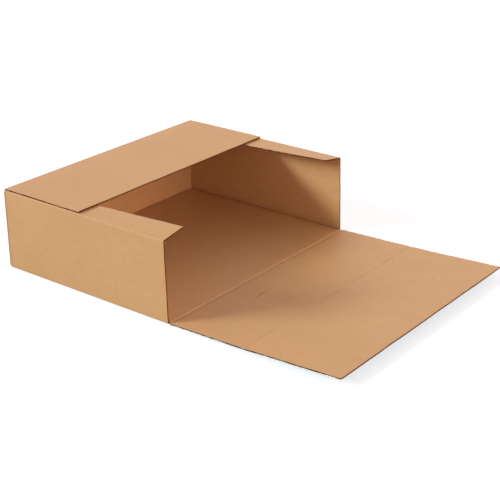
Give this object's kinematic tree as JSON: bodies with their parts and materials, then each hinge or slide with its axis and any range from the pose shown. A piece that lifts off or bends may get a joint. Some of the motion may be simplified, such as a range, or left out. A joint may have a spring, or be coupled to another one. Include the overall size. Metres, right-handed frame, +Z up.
{
  "type": "corrugated mailer box",
  "caption": "Flat front-opening mailer box of plain kraft corrugated board, its back flap closed over the side dust flaps and its front wall and front flap folded out.",
  "frame": {"origin": "centre of the bottom panel's flat underside, midway between the side walls' outer faces and between the front crease and the back wall's outer face", "axes": "+Y from the open front to the back wall, +Z up, +X to the right when looking into the open front"},
  "size_m": [0.514, 0.7354, 0.1595],
  "materials": {
    "kraft_board": "matt unbleached kraft liner over a fluted medium, unprinted"
  },
  "bodies": {
    "tray": {"tray": "kraft_board"},
    "back_flap": {"back_flap": "kraft_board"},
    "front_wall": {"front_wall": "kraft_board"},
    "front_flap": {"front_flap": "kraft_board"}
  },
  "joints": [
    {"name": "back_flap_fold", "type": "hinge", "parent": "tray", "child": "back_flap", "pos_m": [0, 0.1945, 0.1543], "axis": [-1, 0, 0], "range_deg": [0, 175]},
    {"name": "front_wall_fold", "type": "hinge", "parent": "tray", "child": "front_wall", "pos_m": [0, -0.1945, 0.003], "axis": [-1, 0, 0], "range_deg": [-1.45, 88.45]},
    {"name": "front_flap_fold", "type": "hinge", "parent": "front_wall", "child": "front_flap", "pos_m": [0, -0.35145, 0.00711], "axis": [-1, 0, 0], "range_deg": [-1.2, 88.6]}
  ]
}
